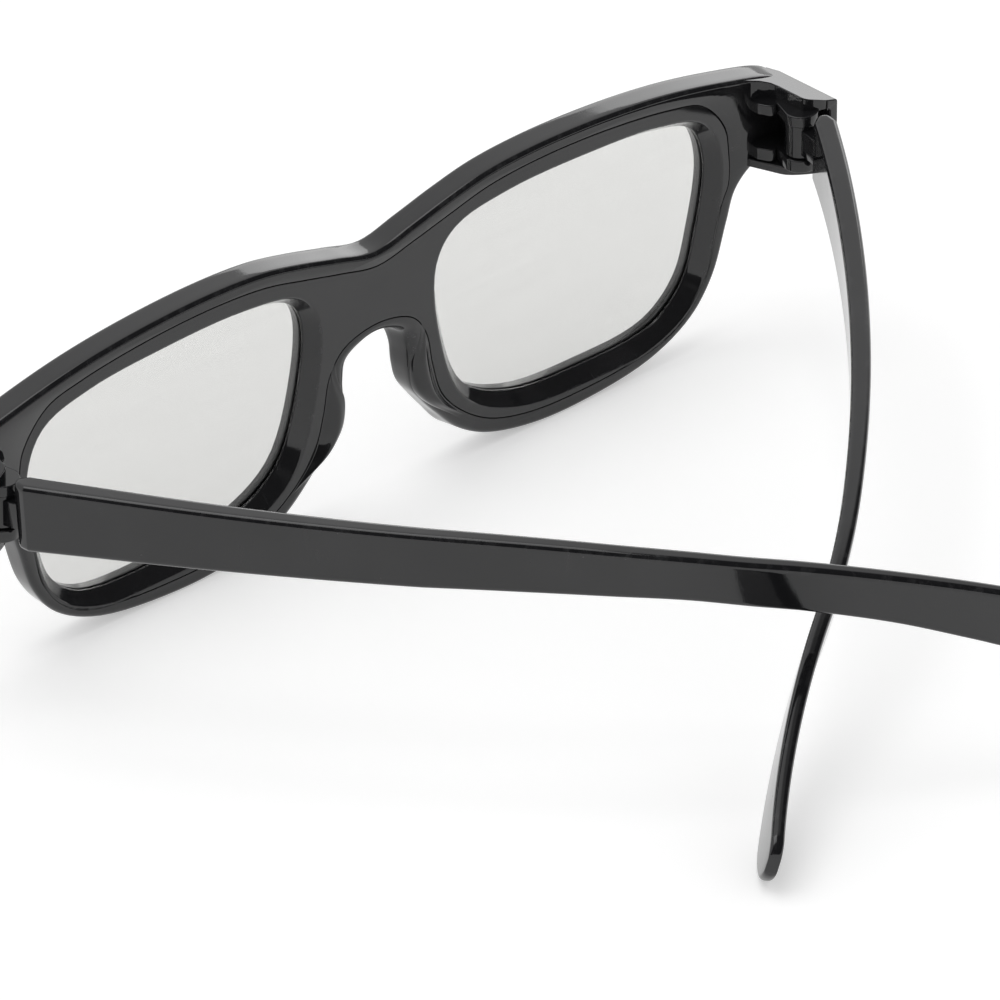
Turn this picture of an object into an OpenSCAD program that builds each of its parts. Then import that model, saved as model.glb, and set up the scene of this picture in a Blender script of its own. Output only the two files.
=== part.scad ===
// Passive stereoscopic cinema spectacles, half folded and standing on a table.
// The front is a moulded shell with a rear plate seated in it. Between them each eye has
// a laminate of a quarter-wave film, a linear polarising film and a carrier film. The
// temples snap into the hinge housings with short round pegs and fold about them.
// X is the wearer's right, Y is forward and Z is up. All sizes are in millimetres.

/* [Lenses] */
// Width of a lens opening
lens_w = 49.4; // [46:0.2:52]
// Height of a lens opening
lens_h = 35.3; // [32:0.1:38]
// Distance between the two lens openings, at their widest
lens_gap = 23; // [20:0.5:27]
// Thickness of the quarter-wave film, which faces the wearer
retarder_t = 0.25; // [0.2:0.05:0.4]
// Thickness of the linear polarising film in the middle
polariser_t = 0.25; // [0.2:0.05:0.4]
// Thickness of the carrier film at the front
carrier_t = 0.3; // [0.2:0.05:0.5]
// Width of the film that the rims hold, all round an opening
film_grip = 1.1; // [0.8:0.1:1.6]

/* [Front] */
// Thickness of the front, from its front face to its rear face
front_t = 4.6; // [4.2:0.1:6]
// Width of the front at its upper corners
front_w = 149.2; // [146:0.2:154]
// Height of the lens openings' top above the hinge line
lens_top = 9; // [8:0.1:10]
// Height of the brow above the lens openings
brow_h = 6.5; // [6:0.1:8]
// Height of the rims below the lens openings
rim_h = 5; // [4.5:0.1:7]
// Width of the rims outside the lens openings
rim_side = 4.6; // [4:0.1:6]
// Thickness of the shell's front wall, behind which the films lie
face_t = 1.4; // [1.2:0.1:2]
// Rounding of the shell's edges
edge_r = 0.8; // [0.4:0.1:1.1]

/* [Nose] */
// Height of the bridge from the top of the nose arch to the dip in the brow
bridge_h = 14; // [12:0.2:17]
// Width of the nose arch between the pads, at the front
nose_w = 10.8; // [9:0.2:13]
// How much wider the arch is at the rear face, on each side
nose_splay = 2; // [1:0.1:2.6]
// How far the nose pads stand behind the rear face
pad_h = 1.4; // [0.6:0.1:2.4]

/* [Rear plate] */
// Width of the shell's rear edge around the plate
shell_edge = 3; // [2.4:0.1:3.6]
// Play between the plate and the shell's edge
plate_play = 0.12; // [0.08:0.01:0.3]
// Width of the bevel around the plate's openings
bevel_w = 1.7; // [1:0.1:2]
// Diameter of the plate's locating pegs
plate_peg_d = 1.3; // [1:0.1:1.6]

/* [Hinges] */
// Width over the hinge housings, at their rear ends
overall_w = 153.6; // [150:0.2:158]
// Depth of a housing behind the front's middle
lug_depth = 10.6; // [9.5:0.1:12]
// Height of a housing
lug_h = 11.9; // [11:0.1:13]
// Thickness of a housing's walls
lug_wall = 1.3; // [1.1:0.1:1.6]
// Distance of the hinge axis in from the housing's outer face
axis_in = 4.5; // [4.2:0.1:4.8]
// Distance of the hinge axis behind the front's middle
axis_back = 8.4; // [7.8:0.1:9]
// Height of the temple's knuckle
knuckle_h = 5.4; // [4:0.1:6]
// Diameter of the temple's knuckle
knuckle_d = 4.4; // [3.6:0.1:5]
// Diameter of the snap pegs on the knuckle
peg_d = 2; // [1.6:0.1:2.4]
// Length of each snap peg
peg_l = 1.1; // [0.8:0.1:1.4]
// Clearance between peg and bore, on the radius
peg_play = 0.05; // [0.03:0.01:0.08]
// End play of the knuckle between its ears, on each side
end_play = 0.12; // [0.05:0.01:0.3]

/* [Temples] */
// Length of a temple from its hinge axis to its tip, along its bow
temple_l = 148.6; // [140:0.1:154]
// Height of a temple at its root
root_h = 10.7; // [9.5:0.1:11.5]
// Height of a temple at its slimmest
waist_h = 7.8; // [6.5:0.1:8.5]
// Height of a temple across its ear part
ear_h = 11; // [9:0.1:11.6]
// Height of the ear part's end, up to which its lower edge curves
end_h = 6.2; // [4:0.1:8]
// Length of the rounding at the very end
end_l = 2.4; // [1:0.1:3]
// Thickness of a temple at its root
root_t = 3.4; // [3:0.1:3.8]
// Thickness of a temple at its tip
tip_t = 1.9; // [1.6:0.1:2.6]
// Drop of the ear part's upper edge below the hinge line, at the tip
tip_drop = 7.7; // [6:0.1:9]
// Radius of a temple's long bow, seen from above
bow_r = 290; // [250:1:400]
// Radius of the tighter bend in front of the ear part
bend_r = 140; // [100:1:200]
// Radius of the ear part, which bows the other way
ear_r = 190; // [150:1:400]
// Inward lean of the ear part's lower edge, in degrees
cant = 12.8; // [6:0.1:16]
// Fold of both temples from open, as they stand
fold = 40.9; // [38:0.1:43]
// Rise of the left blade and drop of the right one, in degrees
tilt = 3.7; // [3.6:0.05:4]

/* [Hidden] */
e = 0.01;
$fn = 48;

// Heights are measured from the hinge line here, and the whole part is stood up last.
lens_x = lens_gap / 2 + lens_w / 2;
lens_z = lens_top - lens_h / 2;
brow_z = lens_top + brow_h;
rim_z = lens_top - lens_h - rim_h;
arch_z = -4;
dip_z = arch_z + bridge_h;
y_f = front_t / 2;
y_r = -front_t / 2;
film_t = retarder_t + polariser_t + carrier_t;
film_y = y_f - face_t;
plate_y = film_y - film_t;

// A smooth curve through points: each span is a cubic whose slopes come from its
// neighbours, with the spans weighted by the square root of their length.
function lerp(a, b, t) = a + (b - a) * t;
function span(a, b) = sqrt(max(norm(b - a), 0.01));
function cr(a, b, c, d, t) =
    let (t1 = span(a, b), t2 = t1 + span(b, c), t3 = t2 + span(c, d), u = lerp(t1, t2, t),
         a1 = lerp(a, b, u / t1), a2 = lerp(b, c, (u - t1) / (t2 - t1)),
         a3 = lerp(c, d, (u - t2) / (t3 - t2)),
         b1 = lerp(a1, a2, u / t2), b2 = lerp(a2, a3, (u - t1) / (t3 - t1)))
    lerp(b1, b2, (u - t1) / (t2 - t1));
function closed(p, m) = let (n = len(p))
    [for (i = [0 : n - 1], k = [0 : m - 1])
        cr(p[(i + n - 1) % n], p[i], p[(i + 1) % n], p[(i + 2) % n], k / m)];
// An open curve that meets the mirror plane squarely at both ends
function half(p, m) = let (n = len(p),
    q = concat([[-p[1][0], p[1][1]]], p, [[-p[n - 2][0], p[n - 2][1]]]))
    [for (i = [0 : n - 2], k = [0 : m - 1]) cr(q[i], q[i + 1], q[i + 2], q[i + 3], k / m),
     p[n - 1]];
function mirrored(p) = concat(p, [for (i = [len(p) - 2 : -1 : 1]) [-p[i][0], p[i][1]]]);
function unit(v) = v / max(norm(v), 0.0001);
// Moves each point of a clockwise loop outwards by d
function grown(p, d) = let (n = len(p))
    [for (i = [0 : n - 1]) let (t = unit(p[(i + 1) % n] - p[(i + n - 1) % n]))
        p[i] + d * [-t[1], t[0]]];
function flipped(p) = [for (q = p) [-q[0], q[1]]];
function turned(p) = [for (i = [len(p) - 1 : -1 : 0]) p[i]];

// One lens opening, as shares of its half width and half height
lens_shape = [[-0.97, 0.66], [-0.86, 0.88], [-0.5, 0.985], [0.1, 0.985], [0.6, 0.92],
              [0.9, 0.77], [1, 0.4], [0.94, -0.25], [0.84, -0.68], [0.62, -0.94],
              [0.1, -1], [-0.42, -0.93], [-0.78, -0.64], [-0.95, 0.03]];
lens_curve = closed([for (s = lens_shape)
    [lens_x + s[0] * lens_w / 2, lens_z + s[1] * lens_h / 2]], 3);

// The front's outline on the wearer's right, from the dip in the brow round to the arch
corner_x = front_w / 2;
out_x = lens_x + lens_w / 2;
lug_lo = -lug_h / 2 + 1.9;
lug_hi = lug_lo + lug_h;
function nose_part(s) = let (h = nose_w / 2 + nose_splay * s) [
    [h + 8.6, rim_z + 5.2], [h + 5.2, arch_z - 18], [h + 2.9, arch_z - 14.9],
    [h + 0.9, arch_z - 11.8],
    [h + 0.1, arch_z - 8.6], [h - 0.3, arch_z - 5], [h - 1.4, arch_z - 2.1 + 0.4 * s],
    [h * 0.42, arch_z - 0.5 + 0.7 * s], [0, arch_z + 0.9 * s]];
function outline_points(s) = concat([
    [0, dip_z], [6.5, dip_z + 1.6], [13, brow_z - 2.1], [20, brow_z - 0.6], [29, brow_z],
    [41, brow_z - 0.4], [53, brow_z - 1.8], [64, brow_z - 4.2],
    [corner_x - 2.2, lug_hi + 0.9], [corner_x - 0.3, lug_hi - 0.6],
    [corner_x, lug_hi - 3], [corner_x, lug_lo + 2.4], [corner_x - 0.8, lug_lo + 0.5],
    [corner_x - 3.4, lug_lo - 0.2],
    [out_x + rim_side + 3, lug_lo - 0.5], [out_x + rim_side, lug_lo - 3.2],
    [out_x + rim_side - 1.6, lug_lo - 8],
    [out_x + rim_side - 4.2, rim_z + 11.2], [out_x - 3.6, rim_z + 5.8],
    [out_x - 11.2, rim_z + 1.8], [lens_x, rim_z], [lens_x - 9.4, rim_z + 0.5],
    [lens_x - 17, rim_z + 2.6]], nose_part(s));
function outline(s) = mirrored(half(outline_points(s), 2));

// Rings of points joined into a closed solid. Each ring runs clockwise, seen from the
// side of the last ring.
module skin(r) {
    n = len(r[0]);
    m = len(r);
    polyhedron(points = [for (g = r, p = g) p],
        faces = concat([[for (i = [n - 1 : -1 : 0]) i]],
            [for (k = [0 : m - 2], i = [0 : n - 1])
                let (j = (i + 1) % n, a = k * n + i, b = k * n + j) each
                [[a, b, b + n], [a, b + n, a + n]]],
            [[for (i = [0 : n - 1]) (m - 1) * n + i]]), convexity = 8);
}
// Flat loops at rising depths behind the front, each [loop, y], made into one solid
module rings(r) { skin([for (g = r) [for (p = g[0]) [p[0], g[1], p[1]]]]); }
// A flat slab of one loop between two depths
module slab(p, y0, y1) {
    translate([0, y1, 0]) rotate([90, 0, 0]) linear_extrude(y1 - y0) polygon(p);
}
module both() { children(); mirror([1, 0, 0]) children(); }

// A temple seen from above: a long bow, a tighter bend, then an easy bow the other way
bow_1 = 0.555 * temple_l;
bow_2 = 0.717 * temple_l;
function turn(s) = (min(s, bow_1) / bow_r + max(0, min(s, bow_2) - bow_1) / bend_r
    - max(0, s - bow_2) / ear_r) * 180 / PI;
function bow(r, a, b) = r * [cos(b) - cos(a), sin(a) - sin(b)];
function reach(s) = bow(bow_r, 0, turn(min(s, bow_1)))
    + (s > bow_1 ? bow(bend_r, turn(bow_1), turn(min(s, bow_2))) : [0, 0])
    + (s > bow_2 ? bow(-ear_r, turn(bow_2), turn(s)) : [0, 0]);

// The part stands on both rims and on the lower temple's tip, so it leans back a little.
axis_x = overall_w / 2 - 0.5 - axis_in;
flare = atan((overall_w / 2 - corner_x) / lug_depth);
face_x = axis_in * cos(flare) - 0.25;
ear_z = lug_lo + lug_h / 2 - 0.3;
low_s = 0.95 * temple_l;
low_z = -0.82 * tip_drop - (ear_h - 0.95) * cos(cant) - tip_t * sin(cant);
tip = reach(low_s) + (face_x - tip_t - ear_h * sin(cant)) * [cos(turn(low_s)), -sin(turn(low_s))];
function back(p) = -axis_back - p[0] * sin(fold - flare) + p[1] * cos(fold - flare);
function tip_z(s) = ear_z + (low_z - ear_z) * cos(tilt) - s * sin(tilt) * tip[1];
lean = atan((tip_z(-1) - rim_z) / (y_r + edge_r - back(tip)));
y_hi = (y_f - 0.2) * cos(lean) - (rim_z + edge_r) * sin(lean);
y_lo = (back(tip) - 0.056 * temple_l) * cos(lean) - (tip_z(1) + ear_h / 2) * sin(lean);
stand = [0, -(y_hi + y_lo) / 2, -(rim_z * cos(lean) + (y_r + edge_r) * sin(lean))];
module stood() { translate(stand) rotate([lean, 0, 0]) children(); }

// Hinge housing on the wearer's right: walls round a pocket that is open to the rear
lug_plan = [[corner_x - 12, y_f - face_t], [corner_x - 1, y_f - face_t], [corner_x, 0],
            [overall_w / 2, -lug_depth], [overall_w / 2 - lug_wall, -lug_depth + 0.1],
            [axis_x + 1, -axis_back - 1.2], [axis_x - 3.2, -axis_back + 0.6],
            [corner_x - 12, y_r + 0.4]];
pocket_plan = [[corner_x - 14, 1], [corner_x - 0.1 - lug_wall, 1],
               [overall_w / 2 + 0.62 - lug_wall, -lug_depth - 3], [corner_x - 14, -lug_depth - 3]];
module plan(p, z0, z1) { translate([0, 0, z0]) linear_extrude(z1 - z0) polygon(p); }
// Room between the two ears that hold the knuckle
gap_lo = ear_z - knuckle_h / 2 - end_play;
gap_hi = ear_z + knuckle_h / 2 + end_play;
module ear(z0, z1) {
    translate([axis_x, -axis_back, z0]) cylinder(d = 5.2, h = z1 - z0);
    plan([[axis_x - 2.6, -axis_back], [axis_x + 2.5, -axis_back], [corner_x - 0.4, y_r + 1],
          [corner_x - 9, y_r + 1], [corner_x - 8.6, -4], [axis_x - 2.6, -5.6]], z0, z1);
}
module housing() {
    difference() {
        plan(lug_plan, lug_lo, lug_hi);
        plan(pocket_plan, lug_lo + lug_wall, lug_hi - lug_wall);
    }
    difference() {
        union() {
            ear(lug_lo + lug_wall - 0.3, gap_lo);
            ear(gap_hi, lug_hi - lug_wall + 0.3);
        }
        translate([axis_x, -axis_back, gap_lo - peg_l])
            cylinder(r = peg_d / 2 + peg_play, h = gap_hi - gap_lo + 2 * peg_l);
    }
}

// Nose pad on the wearer's right: a swelling swept down the side of the arch
// The line is its innermost edge: inset, height and depth, from the arch downwards.
pad_line = [[-0.2, -4.6, 0], [-0.2, -5.6, 0.3], [0, -7.5, 0.8], [0.3, -9.9, 1.3], [0.85, -11.8, 1.8],
            [1.85, -13.5, 2.1], [2.95, -14.9, 1.65], [4.5, -16.9, 0.7], [5.6, -18.2, 0.1]];
function pad_ring(q) = let (x = nose_w / 2 + q[0], z = arch_z + q[1], g = q[2] / 2.1,
    r = -y_r - 0.25 + (pad_h + 0.25) * g * (2 - g))
    [[x, -q[2], z], [x + 0.5, -lerp(q[2], r, 0.5), z], [x + 1.3, -lerp(q[2], r, 0.86), z],
     [x + 2.3, -r, z], [x + 3.1, -lerp(-y_r, r, 0.8), z], [x + 3.6, y_r + 0.1, z], [x + 3.6, 0, z],
     [x + 1, 1 - 0.5 * g, z]];
module pad() {
    n = len(pad_line);
    skin([for (i = [0 : n - 2], k = [0, 0.5]) pad_ring(cr(pad_line[max(i - 1, 0)]
        - (i == 0 ? [0, -1, 0] : [0, 0, 0]), pad_line[i], pad_line[i + 1],
        pad_line[min(i + 2, n - 1)] - (i == n - 2 ? [-0.5, 1, 0] : [0, 0, 0]), k)),
        pad_ring(pad_line[n - 1])]);
}

// The rear plate's outline, inside the shell's edge
function plate_points() = [
    [0, dip_z - shell_edge], [6.5, dip_z + 1.4 - shell_edge], [13, brow_z - 2.4 - shell_edge],
    [20, brow_z - 0.7 - shell_edge], [29, brow_z - shell_edge],
    [41, brow_z - 0.4 - shell_edge], [53, brow_z - 2 - shell_edge],
    [out_x - 2, lens_top + 0.6], [out_x + 2.2, lens_top - 4.6], [out_x + 3, lens_top - 9],
    [out_x + rim_side - 1.6, lug_lo - 1.6], [out_x + rim_side - 2.6, lug_lo - 4],
    [out_x + rim_side - 3.8, lug_lo - 8.2], [out_x - 1, rim_z + 11.7],
    [out_x - 5, rim_z + 6.6], [out_x - 11.8, rim_z + 3.5], [lens_x, rim_z + 2.3],
    [lens_x - 9, rim_z + 2.8], [lens_x - 16, rim_z + 4.8], [lens_x - 21.4, rim_z + 8.6],
    [nose_w / 2 + 6, arch_z - 14.4], [nose_w / 2 + 4.4, arch_z - 9],
    [nose_w / 2 + 3.2, arch_z - 3], [nose_w / 2 + 0.6, arch_z + 0.6],
    [0, arch_z + 2.2]];
plate_curve = mirrored(half(plate_points(), 2));
plate_pegs = [[lens_x - lens_w / 2 + 0.5, lens_top - 1], [lens_x + 8, brow_z - 4.75]];

module lens_holes(g, y0, y1) {
    slab(grown(lens_curve, g), y0, y1);
    slab(turned(flipped(grown(lens_curve, g))), y0, y1);
}

module front_shell() {
    color([0.06, 0.06, 0.065]) stood() difference() {
        union() {
            difference() {
                // the last ring lies behind the rear face, which a flat cut makes
                rings([[grown(outline(0), -edge_r), y_f], [grown(outline(0), -0.3 * edge_r),
                    y_f - 0.3 * edge_r], [outline(0), y_f - edge_r],
                    [outline(0.6), y_r + edge_r],
                    [grown(outline(0.85), -0.3 * edge_r), y_r + 0.3 * edge_r],
                    [grown(outline(1), -1.7 * edge_r), y_r - 0.3 * edge_r]]);
                slab([[-overall_w, -50], [-overall_w, 50], [overall_w, 50], [overall_w, -50]],
                    y_r - 2, y_r);
            }
            both() housing();
            both() pad();
        }
        lens_holes(0, y_f - face_t - 1, y_f + 1);
        lens_holes(film_grip + 0.2, film_y - film_t - e, film_y);
        slab(plate_curve, y_r - 4, plate_y);
        both() for (p = plate_pegs) translate([p[0], plate_y - e, p[1]]) rotate([-90, 0, 0])
            cylinder(r = plate_peg_d / 2 + 0.05, h = 0.8);
    }
}

module rear_plate() {
    color([0.07, 0.07, 0.075]) stood() {
        difference() {
            slab(grown(plate_curve, -plate_play), y_r, plate_y);
            both() rings([[lens_curve, plate_y + 1], [lens_curve, plate_y - 0.3],
                [grown(lens_curve, bevel_w + 0.02), y_r - 0.02]]);
        }
        both() for (p = plate_pegs) translate([p[0], plate_y - e, p[1]]) rotate([-90, 0, 0])
            cylinder(d = plate_peg_d, h = 0.7);
    }
}

module film(s, y, t, tone) {
    color(tone) stood() mirror([s < 0 ? 1 : 0, 0, 0])
        slab(grown(lens_curve, film_grip), y - t, y);
}

// A temple in its own frame: the hinge axis is Z, it runs along -Y, and +X is outward.
// Its side view is a smooth line of stations: share of the length, upper edge and height.
side_view = [[-0.08, 8.4, root_h + 0.4], [0.024, 8.5, root_h], [0.121, 8.4, lerp(root_h, waist_h, 0.2)],
             [0.276, 7.55, lerp(root_h, waist_h, 0.5)], [0.424, 6.35, lerp(root_h, waist_h, 0.72)],
             [0.498, 5.5, lerp(root_h, waist_h, 0.8)], [0.572, 4.25, lerp(root_h, waist_h, 0.9)],
             [0.645, 2.55, waist_h], [0.717, 0.35, lerp(waist_h, ear_h, 0.12)],
             [0.831, -0.39 * tip_drop, lerp(waist_h, ear_h, 0.36)],
             [0.908, -0.67 * tip_drop, lerp(waist_h, ear_h, 0.8)],
             [0.944, -0.8 * tip_drop, ear_h - 0.2], [0.976, -0.915 * tip_drop, lerp(end_h, ear_h, 0.6)],
             [1, -tip_drop, end_h], [1.03, -1.1 * tip_drop, end_h - 3]];
function side(t) = let (n = len(side_view), i = max([for (k = [1 : n - 3])
    if (side_view[k][0] <= t + 0.0001) k]), a = side_view[i][0], b = side_view[i + 1][0])
    cr2(side_view[i - 1], side_view[i], side_view[i + 1], side_view[i + 2], (t - a) / (b - a));
// A cubic between b and c with slopes from the stations on both sides
function cr2(a, b, c, d, u) = let (m0 = (c - a) / (c[0] - a[0]) * (c[0] - b[0]),
    m1 = (d - b) / (d[0] - b[0]) * (c[0] - b[0]), v = u * u, w = v * u)
    (2 * w - 3 * v + 1) * b + (w - 2 * v + u) * m0 + (3 * v - 2 * w) * c + (w - v) * m1;
function temple_t(t) = lerp(root_t, tip_t, t);
function roll(t) = cant * min(1, max(0, (t - 0.407) / 0.337));
// A rounded section whose outer upper edge stays on the bow, and which rolls about it
function temple_ring(s, c, g) = let (t = s / temple_l, q = side(t), h = q[2], a = turn(s),
    w = temple_t(t), p = reach(s), r = min(0.8, h * c / 2.2), b = roll(t))
    [for (k = [3 : -1 : 0], i = [2 : -1 : 0]) let (o = 90 * k + 45 * i,
        x = -w / 2 + (k == 0 || k == 3 ? 1 : -1) * (w / 2 - r - g) + r * cos(o),
        z = -h / 2 + (k < 2 ? 1 : -1) * (h * c / 2 - r) + r * sin(o),
        n = face_x + x * cos(b) + z * sin(b))
        [p[0] + n * cos(a), p[1] - n * sin(a), q[1] - x * sin(b) + z * cos(b)]];
root_s = 3.6;
module blade() {
    skin(concat([temple_ring(root_s, 0.94, 0.4), temple_ring(root_s + 0.5, 1, 0)],
        [for (i = [0 : 31]) temple_ring(lerp(root_s + 3, temple_l - end_l, i / 31), 1, 0)],
        [for (b = [25, 45, 62, 76])
            temple_ring(temple_l - end_l + end_l * sin(b), 0.45 + 0.55 * cos(b), 0)]));
}
module temple(s) {
    // the blade rises or drops a little, while its knuckle and pegs stay on the axis
    translate([0, 0, ear_z]) rotate([-s * tilt, 0, 0]) translate([0, 0, -ear_z]) blade();
    translate([0, 0, ear_z - knuckle_h / 2]) cylinder(d = knuckle_d, h = knuckle_h);
    translate([0, 0, ear_z - knuckle_h / 2 - peg_l])
        cylinder(d = peg_d, h = knuckle_h + 2 * peg_l);
    plan([[-1.2, 0], [1.8, 0], [2.6, -root_s - 1.4], [0.9, -root_s - 1.4]],
         ear_z - knuckle_h / 2 + 0.6, ear_z + knuckle_h / 2 - 0.6);
}
// One of the two, 1 for the wearer's left with the raised blade
module placed_temple(s) {
    color([0.05, 0.05, 0.055]) stood() mirror([s > 0 ? 1 : 0, 0, 0])
        translate([axis_x, -axis_back, 0]) rotate([0, 0, -(fold - flare)]) temple(s);
}
module left_temple() placed_temple(1);
module right_temple() placed_temple(-1);

grey = [0.72, 0.72, 0.7, 0.6];
front_shell();
rear_plate();
film(-1, plate_y + retarder_t, retarder_t, grey);  // left_retarder_film
film(1, plate_y + retarder_t, retarder_t, grey);  // right_retarder_film
film(-1, plate_y + retarder_t + polariser_t, polariser_t, grey);  // left_polarising_film
film(1, plate_y + retarder_t + polariser_t, polariser_t, grey);  // right_polarising_film
film(-1, film_y, carrier_t, grey);  // left_carrier_film
film(1, film_y, carrier_t, grey);  // right_carrier_film
left_temple();
right_temple();
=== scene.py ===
"""Passive stereoscopic cinema spectacles, half folded and standing on a table.

Every surface is worked out from the CAD model's named sizes and control points, a few of them
set closer to the photograph since its last pack. They are in millimetres in the front's own
frame: X is the wearer's right, Y is forward out of the lenses, Z is up from the hinge line. A
finished piece is stood up and turned into metres.
"""

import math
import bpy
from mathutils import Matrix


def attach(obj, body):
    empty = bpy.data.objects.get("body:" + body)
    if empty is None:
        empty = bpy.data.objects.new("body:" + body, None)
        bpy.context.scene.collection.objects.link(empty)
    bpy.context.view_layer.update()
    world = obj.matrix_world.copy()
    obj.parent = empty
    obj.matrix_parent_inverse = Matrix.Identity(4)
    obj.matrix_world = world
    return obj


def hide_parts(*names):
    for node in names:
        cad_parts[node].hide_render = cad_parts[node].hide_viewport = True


bl_info = {
    "name": "Stereoscopic Spectacles",
    "version": (1, 0, 0),
    "blender": (4, 5, 0),
    "location": "View3D > Sidebar > Spectacles",
    "description": "Builds folding stereoscopic spectacles with laminated film lenses",
    "category": "Add Mesh",
}

import bmesh
import bpy
import numpy as np
from mathutils import Matrix, Vector
from mathutils.geometry import tessellate_polygon

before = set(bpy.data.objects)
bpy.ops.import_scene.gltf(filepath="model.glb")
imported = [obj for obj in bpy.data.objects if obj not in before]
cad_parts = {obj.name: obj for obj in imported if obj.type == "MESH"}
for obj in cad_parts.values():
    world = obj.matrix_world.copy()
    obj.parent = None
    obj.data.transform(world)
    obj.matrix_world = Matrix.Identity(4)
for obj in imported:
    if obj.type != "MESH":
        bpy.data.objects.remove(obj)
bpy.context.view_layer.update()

# ---------------------------------------------------------------- sizes in millimetres

# Lens openings, and the films of each lens with the air between them
LENS_W, LENS_H, LENS_GAP, LENS_TOP = 49.4, 35.3, 23.0, 9.0
RETARDER_T, POLARISER_T, CARRIER_T = 0.25, 0.25, 0.3
FILM_GRIP, FILM_AIR, FILM_EDGE = 1.1, 0.006, 0.02
# The front, its nose arch and the pads, which rise inwards and rearwards over two lengths
FRONT_T, FRONT_W, FACE_T, BROW_H, RIM_H, RIM_SIDE = 4.6, 149.2, 1.4, 6.5, 5.0, 4.6
BRIDGE_H, NOSE_W, NOSE_SPLAY = 14.0, 10.8, 2.0
PAD_H, PAD_LIFT, PAD_RISE_IN, PAD_RISE_BACK = 1.4, 0.06, 6.5, 11.0
# The rear plate, its bevels and its locating pegs
SHELL_EDGE, PLATE_PLAY, BEVEL_W, BEVEL_LAND = 2.1, 0.12, 1.7, 0.3
PLATE_PEG_D, PLATE_PEG_L, PLATE_BORE_L, PLATE_BORE_PLAY = 1.3, 0.69, 0.8, 0.05
# The hinge housings, their ears, and the knuckles and snap pegs between the ears
OVERALL_W, LUG_DEPTH, LUG_H, LUG_WALL, LUG_SLOPE = 153.6, 10.6, 11.9, 1.3, 0.3
HINGE_EAR_R, LOWER_EAR_T, UPPER_EAR_T, HINGE_EDGE = 2.6, 1.95, 1.7, 0.2
AXIS_IN, AXIS_BACK, KNUCKLE_H, KNUCKLE_D = 4.5, 8.4, 5.4, 4.4
PEG_D, PEG_L, PEG_PLAY, END_PLAY = 2.0, 1.1, 0.05, 0.12
SLIGHT_ROUNDING = 0.15  # of pegs, ears and necks
# The temples: heights, thicknesses, radii of the bow, and where it and the cant change, as shares of
# the length
TEMPLE_L, ROOT_H, WAIST_H, EAR_H, END_H, END_L = 148.6, 10.7, 7.8, 11.0, 6.2, 2.4
ROOT_T, TIP_T, TIP_DROP, ROOT_S, ROOT_CHAMFER = 3.4, 1.9, 7.7, 3.6, 0.75
BOW_R, BEND_R, EAR_R, BLADE_ROUNDING, BLADE_HOLD = 290.0, 140.0, 190.0, 0.8, 0.25
BEND_FROM, BEND_TO, CANT_FROM, CANT_OVER = 0.555, 0.717, 0.407, 0.337
CANT, TILT = math.radians(12.8), math.radians(3.7)
FOLD_BACK = math.radians(29.1749)  # between a folded temple and straight back
LEAN, STAND = math.radians(3.14507), np.array([0.0, 57.6964, 31.3352])  # of the front on the table

# In metres: what is welded, what is a sliver, the table's half width and its play under the rims
WELD, SLIVER, TABLE_HALF, TABLE_GAP = 3e-7, 1e-8, 3.0, 2e-5
SHARP = math.radians(32)  # edges of a greater angle stay sharp

# The stage: what the table adds for the eye, the room's light, and the camera's turn, tip, distance,
# scale and aim along its own right and up
FLOOR_LIFT, ROOM_LIGHT, DARK_ROOM = 0.37, 0.62, 0.03
CAMERA_TURN, CAMERA_TIP, CAMERA_FAR = math.radians(39.8), math.radians(34.3), 3000.0
PIXELS_PER_MM, PICTURE_W, SENSOR_W, AIM_RIGHT, AIM_UP = 7.2, 1000, 36.0, 18.4, -27.0

LENS_X = LENS_GAP / 2 + LENS_W / 2
LENS_Z = LENS_TOP - LENS_H / 2
BROW_Z, RIM_Z = LENS_TOP + BROW_H, LENS_TOP - LENS_H - RIM_H
ARCH_Z = -4.0
DIP_Z = ARCH_Z + BRIDGE_H
PAD_TOP, PAD_FOOT = ARCH_Z - 1.4, ARCH_Z - 20.4
Y_F, Y_R = FRONT_T / 2, -FRONT_T / 2
FILM_Y = Y_F - FACE_T
PLATE_Y = FILM_Y - RETARDER_T - POLARISER_T - CARRIER_T
CORNER_X, OUT_X = FRONT_W / 2, LENS_X + LENS_W / 2
LUG_LO = -LUG_H / 2 + 1.9
LUG_HI = LUG_LO + LUG_H
AXIS_X = OVERALL_W / 2 - 0.5 - AXIS_IN
FLARE = math.atan((OVERALL_W / 2 - CORNER_X) / LUG_DEPTH)
FACE_X = AXIS_IN * math.cos(FLARE) - 0.25
EAR_Z = LUG_LO + LUG_H / 2 - 0.3
KNUCKLE_Z = EAR_Z + 0.8
KNUCKLE_LO, KNUCKLE_HI = KNUCKLE_Z - KNUCKLE_H / 2, KNUCKLE_Z + KNUCKLE_H / 2
GAP_LO, GAP_HI = KNUCKLE_LO - END_PLAY, KNUCKLE_HI + END_PLAY

# ---------------------------------------------------------------- curves


def lerp(a, b, t):
    """What lies a share t of the way from a to b."""
    return a + (b - a) * t


def catmull(a, b, c, d, t):
    """A cubic from b to c whose slopes come from a and d, each span weighted by the root of its length."""
    gap = lambda p, q: np.sqrt(np.maximum(np.linalg.norm(q - p, axis=-1, keepdims=True), 0.01))
    t1 = gap(a, b)
    t2 = t1 + gap(b, c)
    t3 = t2 + gap(c, d)
    u = lerp(t1, t2, t)
    a1, a2, a3 = lerp(a, b, u / t1), lerp(b, c, (u - t1) / (t2 - t1)), lerp(c, d, (u - t2) / (t3 - t2))
    b1, b2 = lerp(a1, a2, u / t2), lerp(a2, a3, (u - t1) / (t3 - t1))
    return lerp(b1, b2, (u - t1) / (t2 - t1))


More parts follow.
